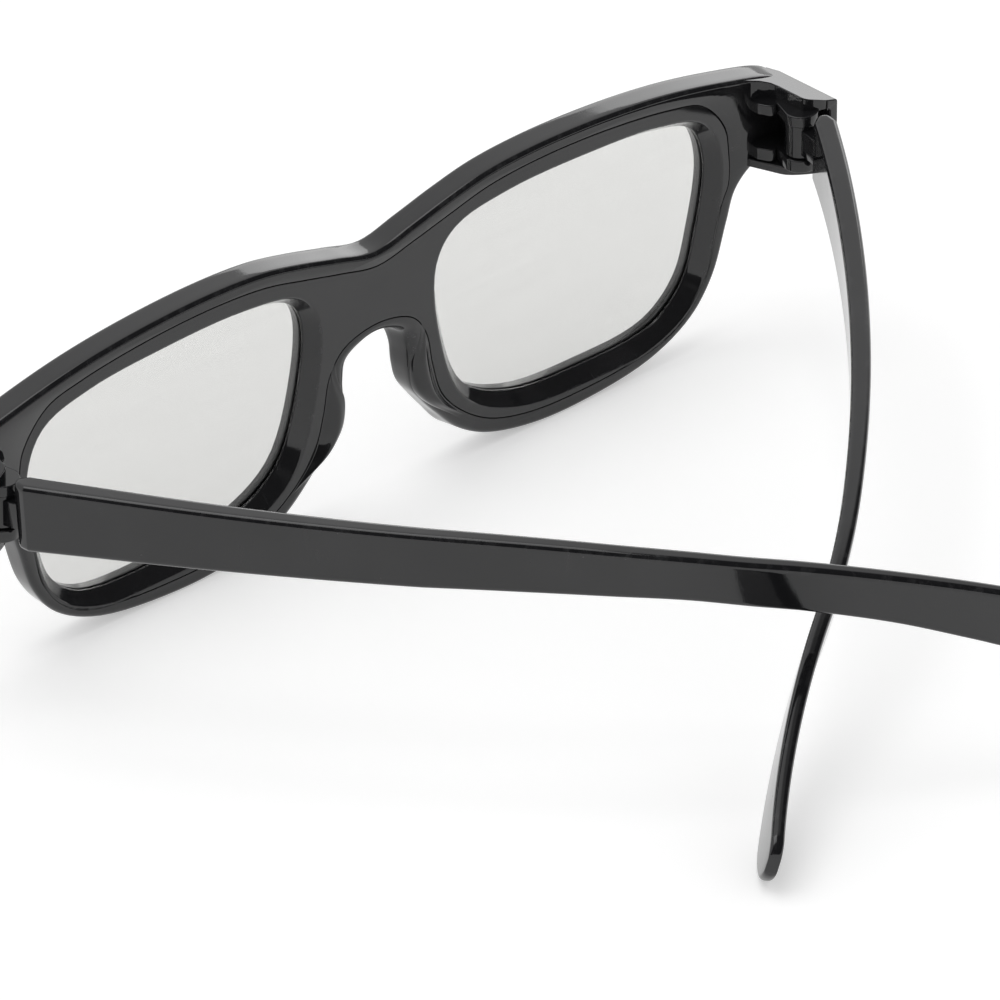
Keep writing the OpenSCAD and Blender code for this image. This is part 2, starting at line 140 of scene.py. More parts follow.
def smooth_loop(points, steps):
    """A closed smooth curve through the points, with that many steps to a span."""
    p = np.asarray(points, float)[:, None]
    t = (np.arange(steps) / steps)[None, :, None]
    q = [np.roll(p, k, axis=0) for k in (1, 0, -1, -2)]
    return catmull(*q, t).reshape(-1, p.shape[-1])


def smooth_line(points, before, after, steps):
    """An open smooth curve through the points; before and after only give its end slopes."""
    p = np.vstack([before, points, after]).astype(float)[:, None]
    t = (np.arange(steps) / steps)[None, :, None]
    curve = catmull(p[:-3], p[1:-2], p[2:-1], p[3:], t).reshape(-1, p.shape[-1])
    return np.vstack([curve, points[-1]])


def mirrored_loop(points, steps):
    """Half a loop, from the mirror plane round to it again, made smooth and completed by its mirror image."""
    p = np.asarray(points, float)
    half = smooth_line(p, p[1] * [-1, 1], p[-2] * [-1, 1], steps)
    return np.vstack([half, half[-2:0:-1] * [-1, 1]])


def grown(loop, d):
    """Each point of a clockwise loop moved outwards by d, square to its neighbours' chord."""
    t = np.roll(loop, -1, axis=0) - np.roll(loop, 1, axis=0)
    t /= np.linalg.norm(t, axis=1, keepdims=True)
    return loop + d * np.stack([-t[:, 1], t[:, 0]], axis=1)


def flipped(loop):
    """The loop's mirror image, still running clockwise."""
    return loop[::-1] * [-1, 1]


def eased(a, b, c, steps):
    """A quadratic curve from a to c that is drawn towards b, for a rounding of any angle."""
    t = np.linspace(0, 1, steps + 1)[:, None]
    a, b, c = (np.asarray(p, float) for p in (a, b, c))
    return (1 - t) ** 2 * a + 2 * t * (1 - t) * b + t**2 * c


def circle(x, z, r, count=40):
    """A clockwise circle."""
    a = -np.arange(count) * 2 * np.pi / count
    return np.stack([x + r * np.cos(a), z + r * np.sin(a)], axis=1)


def rounded_corners(corners, radii, steps, hold):
    """A polygon with an arc of the given radius at each corner, in that many steps, and a point held on
    each flat that far beside the arc."""
    p = np.asarray(corners, float)
    r = np.broadcast_to(np.asarray(radii, float), (len(p),))[:, None]
    u = np.roll(p, 1, axis=0) - p
    v = np.roll(p, -1, axis=0) - p
    u /= np.linalg.norm(u, axis=1, keepdims=True)
    v /= np.linalg.norm(v, axis=1, keepdims=True)
    half = np.arccos(np.clip((u * v).sum(1, keepdims=True), -1, 1)) / 2
    reach = r / np.tan(half)
    middle = (u + v) / np.linalg.norm(u + v, axis=1, keepdims=True)
    centre = p + middle * r / np.sin(half)
    start, end = p + u * reach - centre, p + v * reach - centre
    swing = np.pi - 2 * half
    t = np.linspace(0, 1, steps + 1)[None, :, None]
    arc = np.sin((1 - t) * swing[:, None]) * start[:, None] + np.sin(t * swing[:, None]) * end[:, None]
    arc = centre[:, None] + arc / np.sin(swing[:, None])
    first = (p + u * (reach + hold))[:, None]
    last = (p + v * (reach + hold))[:, None]
    return np.concatenate([first, arc, last], axis=1).reshape(-1, 2)


# The lens opening, as shares of its half width and half height
LENS_SHAPE = np.array([
    [-0.97, 0.66], [-0.86, 0.88], [-0.5, 0.985], [0.1, 0.985], [0.6, 0.92], [0.9, 0.77], [1, 0.4],
    [0.94, -0.25], [0.84, -0.68], [0.62, -0.94], [0.1, -1], [-0.42, -0.93], [-0.78, -0.64], [-0.95, 0.03]])


def lens_loop(steps, d):
    """The wearer's right lens opening, moved outwards by d."""
    centre, half = [LENS_X, LENS_Z], [LENS_W / 2, LENS_H / 2]
    return grown(smooth_loop(LENS_SHAPE * half + centre, steps), d)


def outline(s, steps, d=0.0):
    """The front's outline moved outwards by d. s is 0 at the front face and 1 at the rear face, where the
    nose arch is wider at its top and straight beside the pads."""
    splay = lambda share: NOSE_W / 2 + NOSE_SPLAY * s * share
    h = splay(1)
    right = [
        [0, DIP_Z], [6.5, DIP_Z + 1.6], [13, BROW_Z - 2.1], [20, BROW_Z - 0.6], [29, BROW_Z],
        [41, BROW_Z - 0.4], [53, BROW_Z - 1.8], [64, BROW_Z - 4.2], [CORNER_X - 2.2, LUG_HI + 0.9],
        [CORNER_X - 0.3, LUG_HI - 0.6], [CORNER_X, LUG_HI - 3], [CORNER_X, LUG_LO + 2.4],
        [CORNER_X - 0.8, LUG_LO + 0.5], [CORNER_X - 3.4, LUG_LO - 0.2],
        [OUT_X + RIM_SIDE + 3, LUG_LO - 0.5], [OUT_X + RIM_SIDE, LUG_LO - 3.2],
        [OUT_X + RIM_SIDE - 1.6, LUG_LO - 8], [OUT_X + RIM_SIDE - 4.2, RIM_Z + 11.2],
        [OUT_X - 3.6, RIM_Z + 5.8], [OUT_X - 11.2, RIM_Z + 1.8], [LENS_X, RIM_Z],
        [LENS_X - 9.4, RIM_Z + 0.5], [LENS_X - 17, RIM_Z + 2.6],
        [splay(0.8) + 8.6, RIM_Z + 5.2], [splay(0.4) + 5.2, ARCH_Z - 18],
        [splay(0.18) + 2.9, ARCH_Z - 14.9], [splay(0.15) + 0.9, ARCH_Z - 11.8],
        [splay(0.25) + 0.1, ARCH_Z - 8.6], [splay(0.6) - 0.3, ARCH_Z - 5],
        [h - 1.4, ARCH_Z - 2.1 + 0.4 * s], [h * 0.42, ARCH_Z - 0.5 + 0.7 * s], [0, ARCH_Z + 0.9 * s]]
    return grown(mirrored_loop(right, steps), d)


def seam(steps, d=0.0):
    """The line on which the rear plate meets the shell, moved outwards by d."""
    right = [
        [0, DIP_Z - SHELL_EDGE], [6.5, DIP_Z + 1.4 - SHELL_EDGE], [13, BROW_Z - 2.4 - SHELL_EDGE],
        [20, BROW_Z - 0.7 - SHELL_EDGE], [29, BROW_Z - SHELL_EDGE], [41, BROW_Z - 0.4 - SHELL_EDGE],
        [53, BROW_Z - 2 - SHELL_EDGE], [OUT_X - 2, LENS_TOP + 0.6], [OUT_X + 2.2, LENS_TOP - 4.6],
        [OUT_X + 3, LENS_TOP - 9], [OUT_X + RIM_SIDE - 1.6, LUG_LO - 1.6],
        [OUT_X + RIM_SIDE - 2.6, LUG_LO - 4], [OUT_X + RIM_SIDE - 3.8, LUG_LO - 8.2],
        [OUT_X - 1, RIM_Z + 11.7], [OUT_X - 5, RIM_Z + 6.6], [OUT_X - 11.8, RIM_Z + 3.5],
        [LENS_X, RIM_Z + 2.3], [LENS_X - 9, RIM_Z + 2.8], [LENS_X - 16, RIM_Z + 4.8],
        [LENS_X - 21.4, RIM_Z + 8.6], [NOSE_W / 2 + 6, ARCH_Z - 14.4],
        [NOSE_W / 2 + 4.4, ARCH_Z - 9], [NOSE_W / 2 + 3.2, ARCH_Z - 3],
        [NOSE_W / 2 + 0.6, ARCH_Z + 0.6], [0, ARCH_Z + 2.2]]
    return grown(mirrored_loop(right, steps), d)


PLATE_PEGS = [[LENS_X - LENS_W / 2 + 0.5, LENS_TOP - 1], [LENS_X + 8, BROW_Z - 4.75]]
PLATE_PEGS += [[-x, z] for x, z in PLATE_PEGS]


def at_depth(loop, y):
    """A loop of the front put at depth y, as points in space."""
    return np.stack([loop[:, 0], np.full(len(loop), float(y)), loop[:, 1]], axis=1)


def at_height(loop, z):
    """A loop in plan put at height z."""
    return np.column_stack([loop, np.full(len(loop), float(z))])


# ---------------------------------------------------------------- meshes


class Skin:
    """Grids and flat faces gathered into closed surfaces, in millimetres, with a share of edge wear at
    each point."""

    def __init__(self):
        self.points, self.wear, self.faces, self.count = [], [], [], 0

    def add(self, points, faces, wear):
        """More points, their faces, counted from the first of them, and their wear."""
        self.points.append(points)
        self.wear.append(np.broadcast_to(np.asarray(wear, float), (len(points),)))
        self.faces += (np.asarray(faces) + self.count).tolist()
        self.count += len(points)

    def grid(self, rows, wear=0.0):
        """Rings of equally many points, each joined to the next by four-sided faces. wear is one value, one
        for each ring, or a table of one for each point."""
        rows = np.asarray(rows, float)
        k, n = rows.shape[:2]
        i = np.arange(k * n).reshape(k, n)
        j = np.roll(i, -1, axis=1)
        quads = np.stack([i[:-1], j[:-1], j[1:], i[1:]], axis=-1).reshape(-1, 4)
        wear = np.asarray(wear, float)
        if wear.ndim == 1:
            wear = wear[:, None]
        self.add(rows.reshape(-1, 3), quads, np.broadcast_to(wear, (k, n)).reshape(-1))

    def flat(self, loops, axes):
        """A flat face inside the first loop and outside the others, filled with triangles."""
        flat = [[Vector((p[axes[0]], p[axes[1]], 0.0)) for p in loop] for loop in loops]
        self.add(np.vstack(loops), [list(t) for t in tessellate_polygon(flat)], 0.0)

    def prism(self, loop, place, low, high, edge, holes=(), steps=4):
        """A loop carried straight from low to high with both edges rounded. Each hole is a loop, its depth,
        and 1 if it is sunk into the high end or -1 into the low end."""
        a = np.linspace(0, np.pi / 2, steps + 1)
        held = [edge + 0.05]  # a last ring on each flat, just inside the rounding
        inset = np.concatenate([held, edge * (1 - np.sin(a)), edge * (1 - np.cos(a)), held])
        level = np.concatenate([[low], low + edge * (1 - np.cos(a)), high - edge * (1 - np.sin(a)), [high]])
        worn = np.concatenate([[0], np.sin(2 * a), np.sin(2 * a), [0]])
        rows = [place(grown(loop, -d), h) for d, h in zip(inset, level)]
        self.grid(rows, worn)
        axes = (0, 2) if np.ptp(rows[0][:, 1]) < 1e-9 else (0, 1)
        for row, h, side in ((rows[0], low, -1), (rows[-1], high, 1)):
            sunk = [(c, d) for c, d, s in holes if s == side]
            self.flat([row] + [place(c, h) for c, d in sunk], axes)
            for c, d in sunk:
                self.grid([place(c, h), place(c, h - side * d)])
                self.flat([place(c, h - side * d)], axes)


def stood(points):
    """The front's frame stood up on its rims and turned into metres: a small turn about X, then a shift."""
    x, y, z = np.asarray(points, float).T
    c, s = math.cos(LEAN), math.sin(LEAN)
    return (np.stack([x, y * c - z * s, y * s + z * c], axis=1) + STAND) / 1000


def finish_piece(skin, name, body, node, material, place=None, mirror=False):
    """The gathered surfaces as one object: placed in its mesh, doubles merged, faces turned outwards, and
    sharp edges kept sharp."""
    points = np.vstack(skin.points)
    if place:
        points = place(points)
    if mirror:
        points = points * [-1, 1, 1]
    mesh = bpy.data.meshes.new(name)
    mesh.from_pydata(stood(points).tolist(), [], skin.faces)
    mesh.attributes.new("wear", "FLOAT", "POINT").data.foreach_set(
        "value", np.concatenate(skin.wear).astype(np.float32))
    b = bmesh.new()
    b.from_mesh(mesh)
    bmesh.ops.remove_doubles(b, verts=b.verts, dist=WELD)
    bmesh.ops.dissolve_degenerate(b, edges=b.edges, dist=SLIVER)
    bmesh.ops.recalc_face_normals(b, faces=b.faces)
    for e in b.edges:
        e.smooth = len(e.link_faces) == 2 and e.calc_face_angle(0.0) < SHARP
    for f in b.faces:
        f.smooth = True
    b.to_mesh(mesh)
    b.free()
    piece = bpy.data.objects.new(name, mesh)
    bpy.context.scene.collection.objects.link(piece)
    mesh.materials.append(material)
    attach(piece, body)
    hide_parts(node)


def shell_body(skin, steps, edge, fillet):
    """The shell: an outer wall with rounded edges, a front face with two lens openings, and from behind
    the seat of the rear plate, the pockets of the laminates and the bores of the plate's pegs."""
    a = np.linspace(0, np.pi / 2, 8)
    wall = np.linspace(Y_F - edge, Y_R + edge, 6)[1:-1]
    straight = np.zeros(len(wall))
    depth = np.concatenate([
        [Y_F], Y_F - edge * (1 - np.cos(a)), wall, Y_R + edge * (1 - np.sin(a)), [Y_R]])
    inset = np.concatenate([
        [edge + 0.1], edge * (1 - np.sin(a)), straight, edge * (1 - np.cos(a)), [edge + 0.07]])
    worn = np.concatenate([[0], np.sin(2 * a), straight, np.sin(2 * a), [0]])
    share = np.interp(depth, [Y_R, Y_R + 0.3 * edge, Y_R + edge, Y_F - edge], [1, 0.85, 0.6, 0])
    rows = [at_depth(outline(s, steps, -d), y) for s, d, y in zip(share, inset, depth)]
    skin.grid(rows, worn)
    lenses = lambda d: [lens_loop(steps, d), flipped(lens_loop(steps, d))]
    hold = [at_depth(loop, Y_F) for loop in lenses(fillet * 2 + 0.1)]
    skin.flat([rows[0]] + hold, (0, 2))
    lip = eased([fillet * 2, Y_F], [0, Y_F], [0, Y_F - fillet * 2], 6)
    pocket = lenses(FILM_GRIP + 0.2)
    for k in (0, 1):
        profile = [[fillet * 2 + 0.1, Y_F], *lip, [0, FILM_Y]]
        skin.grid([at_depth(lenses(d)[k], y) for d, y in profile], [0, *np.sin(np.linspace(0, np.pi, 7)), 0])
        skin.flat([at_depth(pocket[k], FILM_Y), at_depth(lenses(0)[k], FILM_Y)], (0, 2))
        skin.grid([at_depth(pocket[k], y) for y in (FILM_Y, PLATE_Y)])
    lip = [[0.05, Y_R], [0.03, Y_R + 0.01], [0.01, Y_R + 0.03], [0, Y_R + 0.06], [0, PLATE_Y]]
    seat = [at_depth(seam(steps, d), y) for d, y in lip]
    skin.grid(seat, [1, 1, 1, 0.6, 0])
    skin.flat([rows[-1], seat[0]], (0, 2))
    bores = [circle(x, z, PLATE_PEG_D / 2 + PLATE_BORE_PLAY, 24) for x, z in PLATE_PEGS]
    skin.flat([seat[-1]] + [at_depth(loop, PLATE_Y) for loop in pocket + bores], (0, 2))
    for loop in bores:
        skin.grid([at_depth(loop, y) for y in (PLATE_Y, PLATE_Y + PLATE_BORE_L)])
        skin.flat([at_depth(loop, PLATE_Y + PLATE_BORE_L)], (0, 2))


def beside_nose(loop, z):
    """How far out a loop's line beside the nose lies at each height."""
    x, high = loop.T
    near = loop[(x > 4) & (x < 17) & (high < ARCH_Z - 1) & (high > RIM_Z + 4)]
    near = near[np.argsort(near[:, 1])]
    return np.interp(z, near[:, 1], near[:, 0])


def nose_pad(skin, side):
    """A swelling carried down the side of the arch: a smooth closed section from the wall's front edge
    over a crest to the seam. Its reach inwards and rearwards grows and shrinks by smooth steps."""
    z = np.linspace(PAD_TOP, PAD_FOOT, 48)
    ease = lambda t: np.clip(t, 0, 1) ** 2 * (3 - 2 * np.clip(t, 0, 1))
    last = ease((z - PAD_FOOT) / PAD_RISE_IN)
    inwards, rearwards = ease((PAD_TOP - z) / PAD_RISE_IN) * last, ease((PAD_TOP - z) / PAD_RISE_BACK) * last
    x = beside_nose(outline(1, 8), z) + lerp(1.1, -0.05, inwards)
    out = beside_nose(seam(8), z) + 0.1
    base = Y_R + PAD_LIFT
    crest = base - (PAD_H + PAD_LIFT) * rearwards
    high = lambda share: lerp(base, crest, share)
    even = lambda y: np.full_like(x, y)
    section = [
        (x, even(-0.9)), (x + 0.22, high(0.3)), (x + 0.95, high(0.78)), (x + 0.3 * (out - x) + 0.8, high(1)),
        (lerp(x, out, 0.72), high(0.62)), (out - 0.25, high(0.02) + 0.05), (out - 0.15, even(-1.9)),
        (out - 0.2, even(-0.5)), (x + 0.8, even(1.1)), (x + 0.12, even(0.3))]
    rings = [smooth_loop(ring, 5) * [side, 1] for ring in np.transpose(section, (2, 0, 1))]
    rows = [at_height(ring, h) for ring, h in zip(rings, z)]
    skin.grid(rows, 0.2)
    skin.flat([rows[0]], (0, 1))
    skin.flat([rows[-1]], (0, 1))


def hinge_housing(skin, side, fillet):
    """Walls round a pocket that is open to the rear: a C-shaped section with round outer corners, whose top
    goes on from the brow's slope and whose plates draw back to the outer wall as it is carried rearwards.
    Then two ears with the bores for the temple's pegs."""
    y = np.array([0.85, -0.6, -1.9, -2.6, -3.6, -4.7, -5.8, -6.8,
                  -7.5, -8.1, -8.7, -9.2, -9.6, -9.95, -10.25, -10.4])
    # the inner edge of each plate at some depths, then a light smoothing
    top_in = np.interp(y, [-10.5, -9.5, -3.4, -2.4, -1.0], [75.0, 71.6, 70.4, 69.0, 62.6])
    low_in = np.interp(y, [-10.5, -9.6, -7.8, -1.9], [75.0, 72.8, 70.0, 67.0])
    soften = lambda v: np.convolve(np.pad(v, 1, mode="edge"), [0.25, 0.5, 0.25], mode="valid")
    top_in, low_in = soften(top_in), soften(low_in)
    outer = np.where(y < 0, lerp(CORNER_X, OVERALL_W / 2, -y / LUG_DEPTH), CORNER_X - y / 0.9)
    wall = LUG_WALL / math.cos(FLARE)
    edge = min(fillet, 0.25)
    radii = [edge, 0.45, 1.4, edge, edge, 0.6, 0.6, edge]

    def section(i, j, o, d):
        """The C, inset by d, as a clockwise loop of X and Z. Its upper plate runs from i to the outside at
        o, and its lower one from j."""
        w = o - wall
        top = lambda x: LUG_HI + LUG_SLOPE * (CORNER_X + 0.7 - x)
        corners = [[i, top(i)], [o, top(o)], [o, LUG_LO], [j, LUG_LO], [j, LUG_LO + LUG_WALL],
                   [w, LUG_LO + LUG_WALL], [w, LUG_HI - LUG_WALL], [i, LUG_HI - LUG_WALL]]
        return grown(rounded_corners(corners, radii, 5, 0.05), -d)

    loops = [at_depth(section(i, j, o, 0), k) for i, j, o, k in zip(top_in, low_in, outer, y)]
    end = top_in[-1] + 0.3, low_in[-1] + 0.3, OVERALL_W / 2
    turn = np.linspace(0, np.pi / 2, 5)
    for d, back in zip(HINGE_EDGE * (1 - np.cos(turn)), HINGE_EDGE * (1 - np.sin(turn))):
        loops.append(at_depth(section(*end, d), -LUG_DEPTH + back))
    rows = np.array(loops) * [side, 1, 1]
    skin.grid(rows, np.repeat([0.15, 0.9], [len(y), len(turn)]))
    skin.flat([rows[0]], (0, 2))
    skin.flat([rows[-1]], (0, 2))
    # each ear: half a disc round the axis and a web to the front
    a = np.linspace(0, -np.pi, 25)
    disc = np.stack([AXIS_X + HINGE_EAR_R * np.cos(a), -AXIS_BACK + HINGE_EAR_R * np.sin(a)], axis=1)
    web = rounded_corners([[AXIS_X - HINGE_EAR_R, -6.2], [CORNER_X - 6.8, -3.8], [CORNER_X - 7.0, Y_R + 1],
                           [CORNER_X - 0.6, Y_R + 1]], [0.9, 0.3, 0.2, 0.2], 4, 0.02)
    ear = np.vstack([disc, web])
    ear = ear if side > 0 else flipped(ear)
    bore = circle(AXIS_X * side, -AXIS_BACK, PEG_D / 2 + PEG_PLAY, 32)
    skin.prism(ear, at_height, GAP_LO - LOWER_EAR_T, GAP_LO, SLIGHT_ROUNDING, [(bore, PEG_L, 1)])
    skin.prism(ear, at_height, GAP_HI, GAP_HI + UPPER_EAR_T, SLIGHT_ROUNDING, [(bore, PEG_L, -1)])


def plate_body(skin, steps, fillet):
    """The rear plate: its rim with a small rounding, its rear face, and the wide bevels that run down to
    the lens openings."""
    edge = 0.1
    a = np.linspace(0, np.pi / 2, 5)
    bend = [[-edge * (1 - np.cos(t)), Y_R + edge * (1 - np.sin(t))] for t in a]
    profile = [[0, PLATE_Y], *bend, [-edge - 0.06, Y_R]]
    rim = [at_depth(seam(steps, d - PLATE_PLAY), y) for d, y in profile]
    skin.grid(rim, [0, *np.sin(2 * a), 0])
    # across one bevel: the rounded edge of the rear face, the slope and the narrow land at the film
    out, low = np.array([BEVEL_W, Y_R]), np.array([0, PLATE_Y - BEVEL_LAND])
    slope = (low - out) / np.linalg.norm(low - out)
    r = fillet * 2.2
    profile = [
        [BEVEL_W + r + 0.1, Y_R], *eased(out + [r, 0], out, out + slope * r, 6), out + slope * (r + 0.1),
        low - slope * 0.3, *eased(low - slope * 0.2, low, low + [0, 0.2], 5), [0, PLATE_Y]]
    worn = np.zeros(len(profile))
    worn[1:8] = np.sin(np.linspace(0, np.pi, 7))
    openings = []
    for side in (1, -1):
        loops = [lens_loop(steps, d) for d, y in profile]
        rows = [at_depth(loop if side > 0 else flipped(loop), y) for loop, (d, y) in zip(loops, profile)]
        skin.grid(rows, worn)
        openings.append(rows)
    skin.flat([rim[-1]] + [rows[0] for rows in openings], (0, 2))
    skin.flat([rim[0]] + [rows[-1] for rows in openings], (0, 2))
    for x, z in PLATE_PEGS:
        skin.prism(circle(x, z, PLATE_PEG_D / 2, 24), at_depth, PLATE_Y - 0.2, PLATE_Y + PLATE_PEG_L,
                   SLIGHT_ROUNDING)


# A temple's side view: share of its length, upper edge and height
SIDE_VIEW = np.array([
    [-0.08, 8.4, ROOT_H + 0.4], [0.024, 8.5, ROOT_H], [0.121, 8.4, lerp(ROOT_H, WAIST_H, 0.2)],
    [0.276, 7.55, lerp(ROOT_H, WAIST_H, 0.5)], [0.424, 6.35, lerp(ROOT_H, WAIST_H, 0.72)],
    [0.498, 5.5, lerp(ROOT_H, WAIST_H, 0.8)], [0.572, 4.25, lerp(ROOT_H, WAIST_H, 0.9)],
    [0.645, 2.55, WAIST_H], [0.717, 0.35, lerp(WAIST_H, EAR_H, 0.12)],
    [0.831, -0.39 * TIP_DROP, lerp(WAIST_H, EAR_H, 0.36)],
    [0.908, -0.67 * TIP_DROP, lerp(WAIST_H, EAR_H, 0.8)],
    [0.944, -0.8 * TIP_DROP, EAR_H - 0.2], [0.976, -0.915 * TIP_DROP, lerp(END_H, EAR_H, 0.6)],
    [1, -TIP_DROP, END_H], [1.03, -1.1 * TIP_DROP, END_H - 3]])


def side_view(t):
    """Upper edge and height at each share of the length: a cubic between two stations, with slopes from
    the stations on both sides."""
    q = SIDE_VIEW
    i = np.clip(np.searchsorted(q[:, 0], t + 1e-4, side="right") - 1, 1, len(q) - 3)
    a, b, c, d = q[i - 1], q[i], q[i + 1], q[i + 2]
    u = ((t - b[:, 0]) / (c[:, 0] - b[:, 0]))[:, None]
    wide = (c - b)[:, :1]
    m0, m1 = (c - a) / (c - a)[:, :1] * wide, (d - b) / (d - b)[:, :1] * wide
    v, w = u * u, u**3
    return (2 * w - 3 * v + 1) * b + (w - 2 * v + u) * m0 + (3 * v - 2 * w) * c + (w - v) * m1


def bow_line(s):
    """Turn and place in plan at each length s: a long bow, a tighter bend, then an easy bow the other way."""
    one, two = BEND_FROM * TEMPLE_L, BEND_TO * TEMPLE_L
    turn = lambda k: (np.minimum(k, one) / BOW_R + np.clip(k - one, 0, two - one) / BEND_R
                      - np.maximum(0, k - two) / EAR_R)
    arc = lambda r, p, q: r * np.stack([np.cos(q) - np.cos(p), np.sin(p) - np.sin(q)], axis=-1)
    a, b, c = turn(np.minimum(s, one)), turn(np.clip(s, one, two)), turn(np.maximum(s, two))
    place = arc(BOW_R, np.zeros_like(s), a) + arc(BEND_R, turn(one), b) + arc(-EAR_R, turn(two), c)
    return turn(s), place


def blade_rings(s, tall, thin):
    """Sections of a temple square to its bow: a box with round corners whose outer upper edge stays on the
    bow, rolled about it by a cant that grows towards the ear. tall scales the height and thin takes that
    much off each side."""
    t = s / TEMPLE_L
    turn, place = bow_line(s)
    top, h = side_view(t)[:, 1:].T
    w = lerp(ROOT_T, TIP_T, t)
    cant = CANT * np.clip((t - CANT_FROM) / CANT_OVER, 0, 1)
    r = np.minimum(BLADE_ROUNDING, h * tall / 2.2)
    # the four corners, clockwise from the lower outer one: an arc each, and a point held on both flats
    angle, sx, sz, hold_x, hold_z = [], [], [], [], []
    for k in (3, 2, 1, 0):
        arc = np.radians(np.linspace(90 * k + 90, 90 * k, 7))
        angle += [arc[0], *arc, arc[-1]]
        sx += [1 if k in (0, 3) else -1] * 9
        sz += [1 if k < 2 else -1] * 9
        hold_x += [-math.sin(arc[0])] + [0] * 7 + [math.sin(arc[-1])]
        hold_z += [math.cos(arc[0])] + [0] * 7 + [-math.cos(arc[-1])]
    o, sx, sz, hold_x, hold_z = (np.array(v, float)[None] for v in (angle, sx, sz, hold_x, hold_z))
    col = lambda v: v[:, None]
    flat_x, flat_z = col(w / 2 - r - thin), col(h * tall / 2 - r)
    x = -col(w) / 2 + sx * flat_x + col(r) * np.cos(o) + hold_x * np.minimum(BLADE_HOLD, 0.5 * flat_x)
    z = -col(h) / 2 + sz * flat_z + col(r) * np.sin(o) + hold_z * np.minimum(BLADE_HOLD, 0.5 * flat_z)
    n = FACE_X + x * np.cos(col(cant)) + z * np.sin(col(cant))
    high = col(top) - x * np.sin(col(cant)) + z * np.cos(col(cant))
    along, across = place.T
    return np.stack([col(along) + n * np.cos(col(turn)), col(across) - n * np.sin(col(turn)), high], axis=-1)


def temple_body(skin, raised):
    """One temple about its hinge axis: the long blade, which rises or drops a little, and the knuckle, pegs
    and neck, which stay on the axis."""
    # lengths of the rings: the rounded root, the blade with its chamfer's end, and the rounded tip
    a, b = np.linspace(0, np.pi / 2, 6), np.radians(np.linspace(0, 80, 12))[1:]
    end = TEMPLE_L - END_L
    blade = np.concatenate([ROOT_S + np.array([1.5, 1.58, 1.66]), np.linspace(ROOT_S + 1.8, end, 168)])
    s = np.concatenate([ROOT_S + 0.5 * (1 - np.cos(a)), blade, end + END_L * np.sin(b)])
    tall = np.concatenate([1 - 0.06 * (1 - np.sin(a)), np.ones(len(blade)), 0.45 + 0.55 * np.cos(b)])
    thin = np.concatenate([0.25 * (1 - np.sin(a)), np.zeros(len(blade)), 0.1 * (1 - np.cos(b))])
    rows = blade_rings(s, tall, thin + np.interp(s, [ROOT_S, ROOT_S + 1.55], [ROOT_CHAMFER, 0]))
    c, d = math.cos(-TILT * raised), math.sin(-TILT * raised)
    y, z = rows[..., 1].copy(), rows[..., 2] - EAR_Z
    rows[..., 1] = y * c - z * d
    rows[..., 2] = y * d + z * c + EAR_Z
    skin.grid(rows, np.tile([0, 0.5, 0.8, 1, 1, 1, 0.8, 0.5, 0], 4)[None])
    skin.flat([rows[0]], (0, 2))
    skin.flat([rows[-1]], (0, 2))
    skin.prism(circle(0, 0, KNUCKLE_D / 2), at_height, KNUCKLE_LO, KNUCKLE_HI, HINGE_EDGE)
    skin.prism(circle(0, 0, PEG_D / 2, 32), at_height, KNUCKLE_LO - PEG_L, KNUCKLE_HI + PEG_L,
               SLIGHT_ROUNDING)
    neck = [[-1.2, 0], [1.8, 0], [2.6, -ROOT_S - 1.4], [0.9, -ROOT_S - 1.4]]
    skin.prism(rounded_corners(neck, SLIGHT_ROUNDING, 3, 0.03), at_height, KNUCKLE_LO + 0.6, KNUCKLE_HI - 0.6,
               SLIGHT_ROUNDING)


def folded(points):
    """A temple's own frame turned in by its fold and put on its hinge axis."""
    c, s = math.cos(-FOLD_BACK), math.sin(-FOLD_BACK)
    x, y, z = np.asarray(points, float).T
    return np.stack([x * c - y * s + AXIS_X, x * s + y * c - AXIS_BACK, z], axis=1)


# ---------------------------------------------------------------- finishes


def nodes_of(tree):
    """Short ways to add a node with set inputs, and a link, in one tree."""
    def add(kind, values=(), **settings):
        node = tree.nodes.new(kind)
        for key, value in settings.items():
            setattr(node, key, value)
        for key, value in dict(values).items():
            node.inputs[key].default_value = value
        return node
    return add, tree.links.new


def shared_group(name, inputs, outputs):
    """A new node group with float, colour or vector sockets."""
    kinds = {"f": "NodeSocketFloat", "c": "NodeSocketColor", "v": "NodeSocketVector"}
    group = bpy.data.node_groups.new(name, "ShaderNodeTree")
    for label, kind in inputs:
        group.interface.new_socket(label, in_out="INPUT", socket_type=kinds[kind])
    for label, kind in outputs:
        group.interface.new_socket(label, in_out="OUTPUT", socket_type=kinds[kind])
    return group


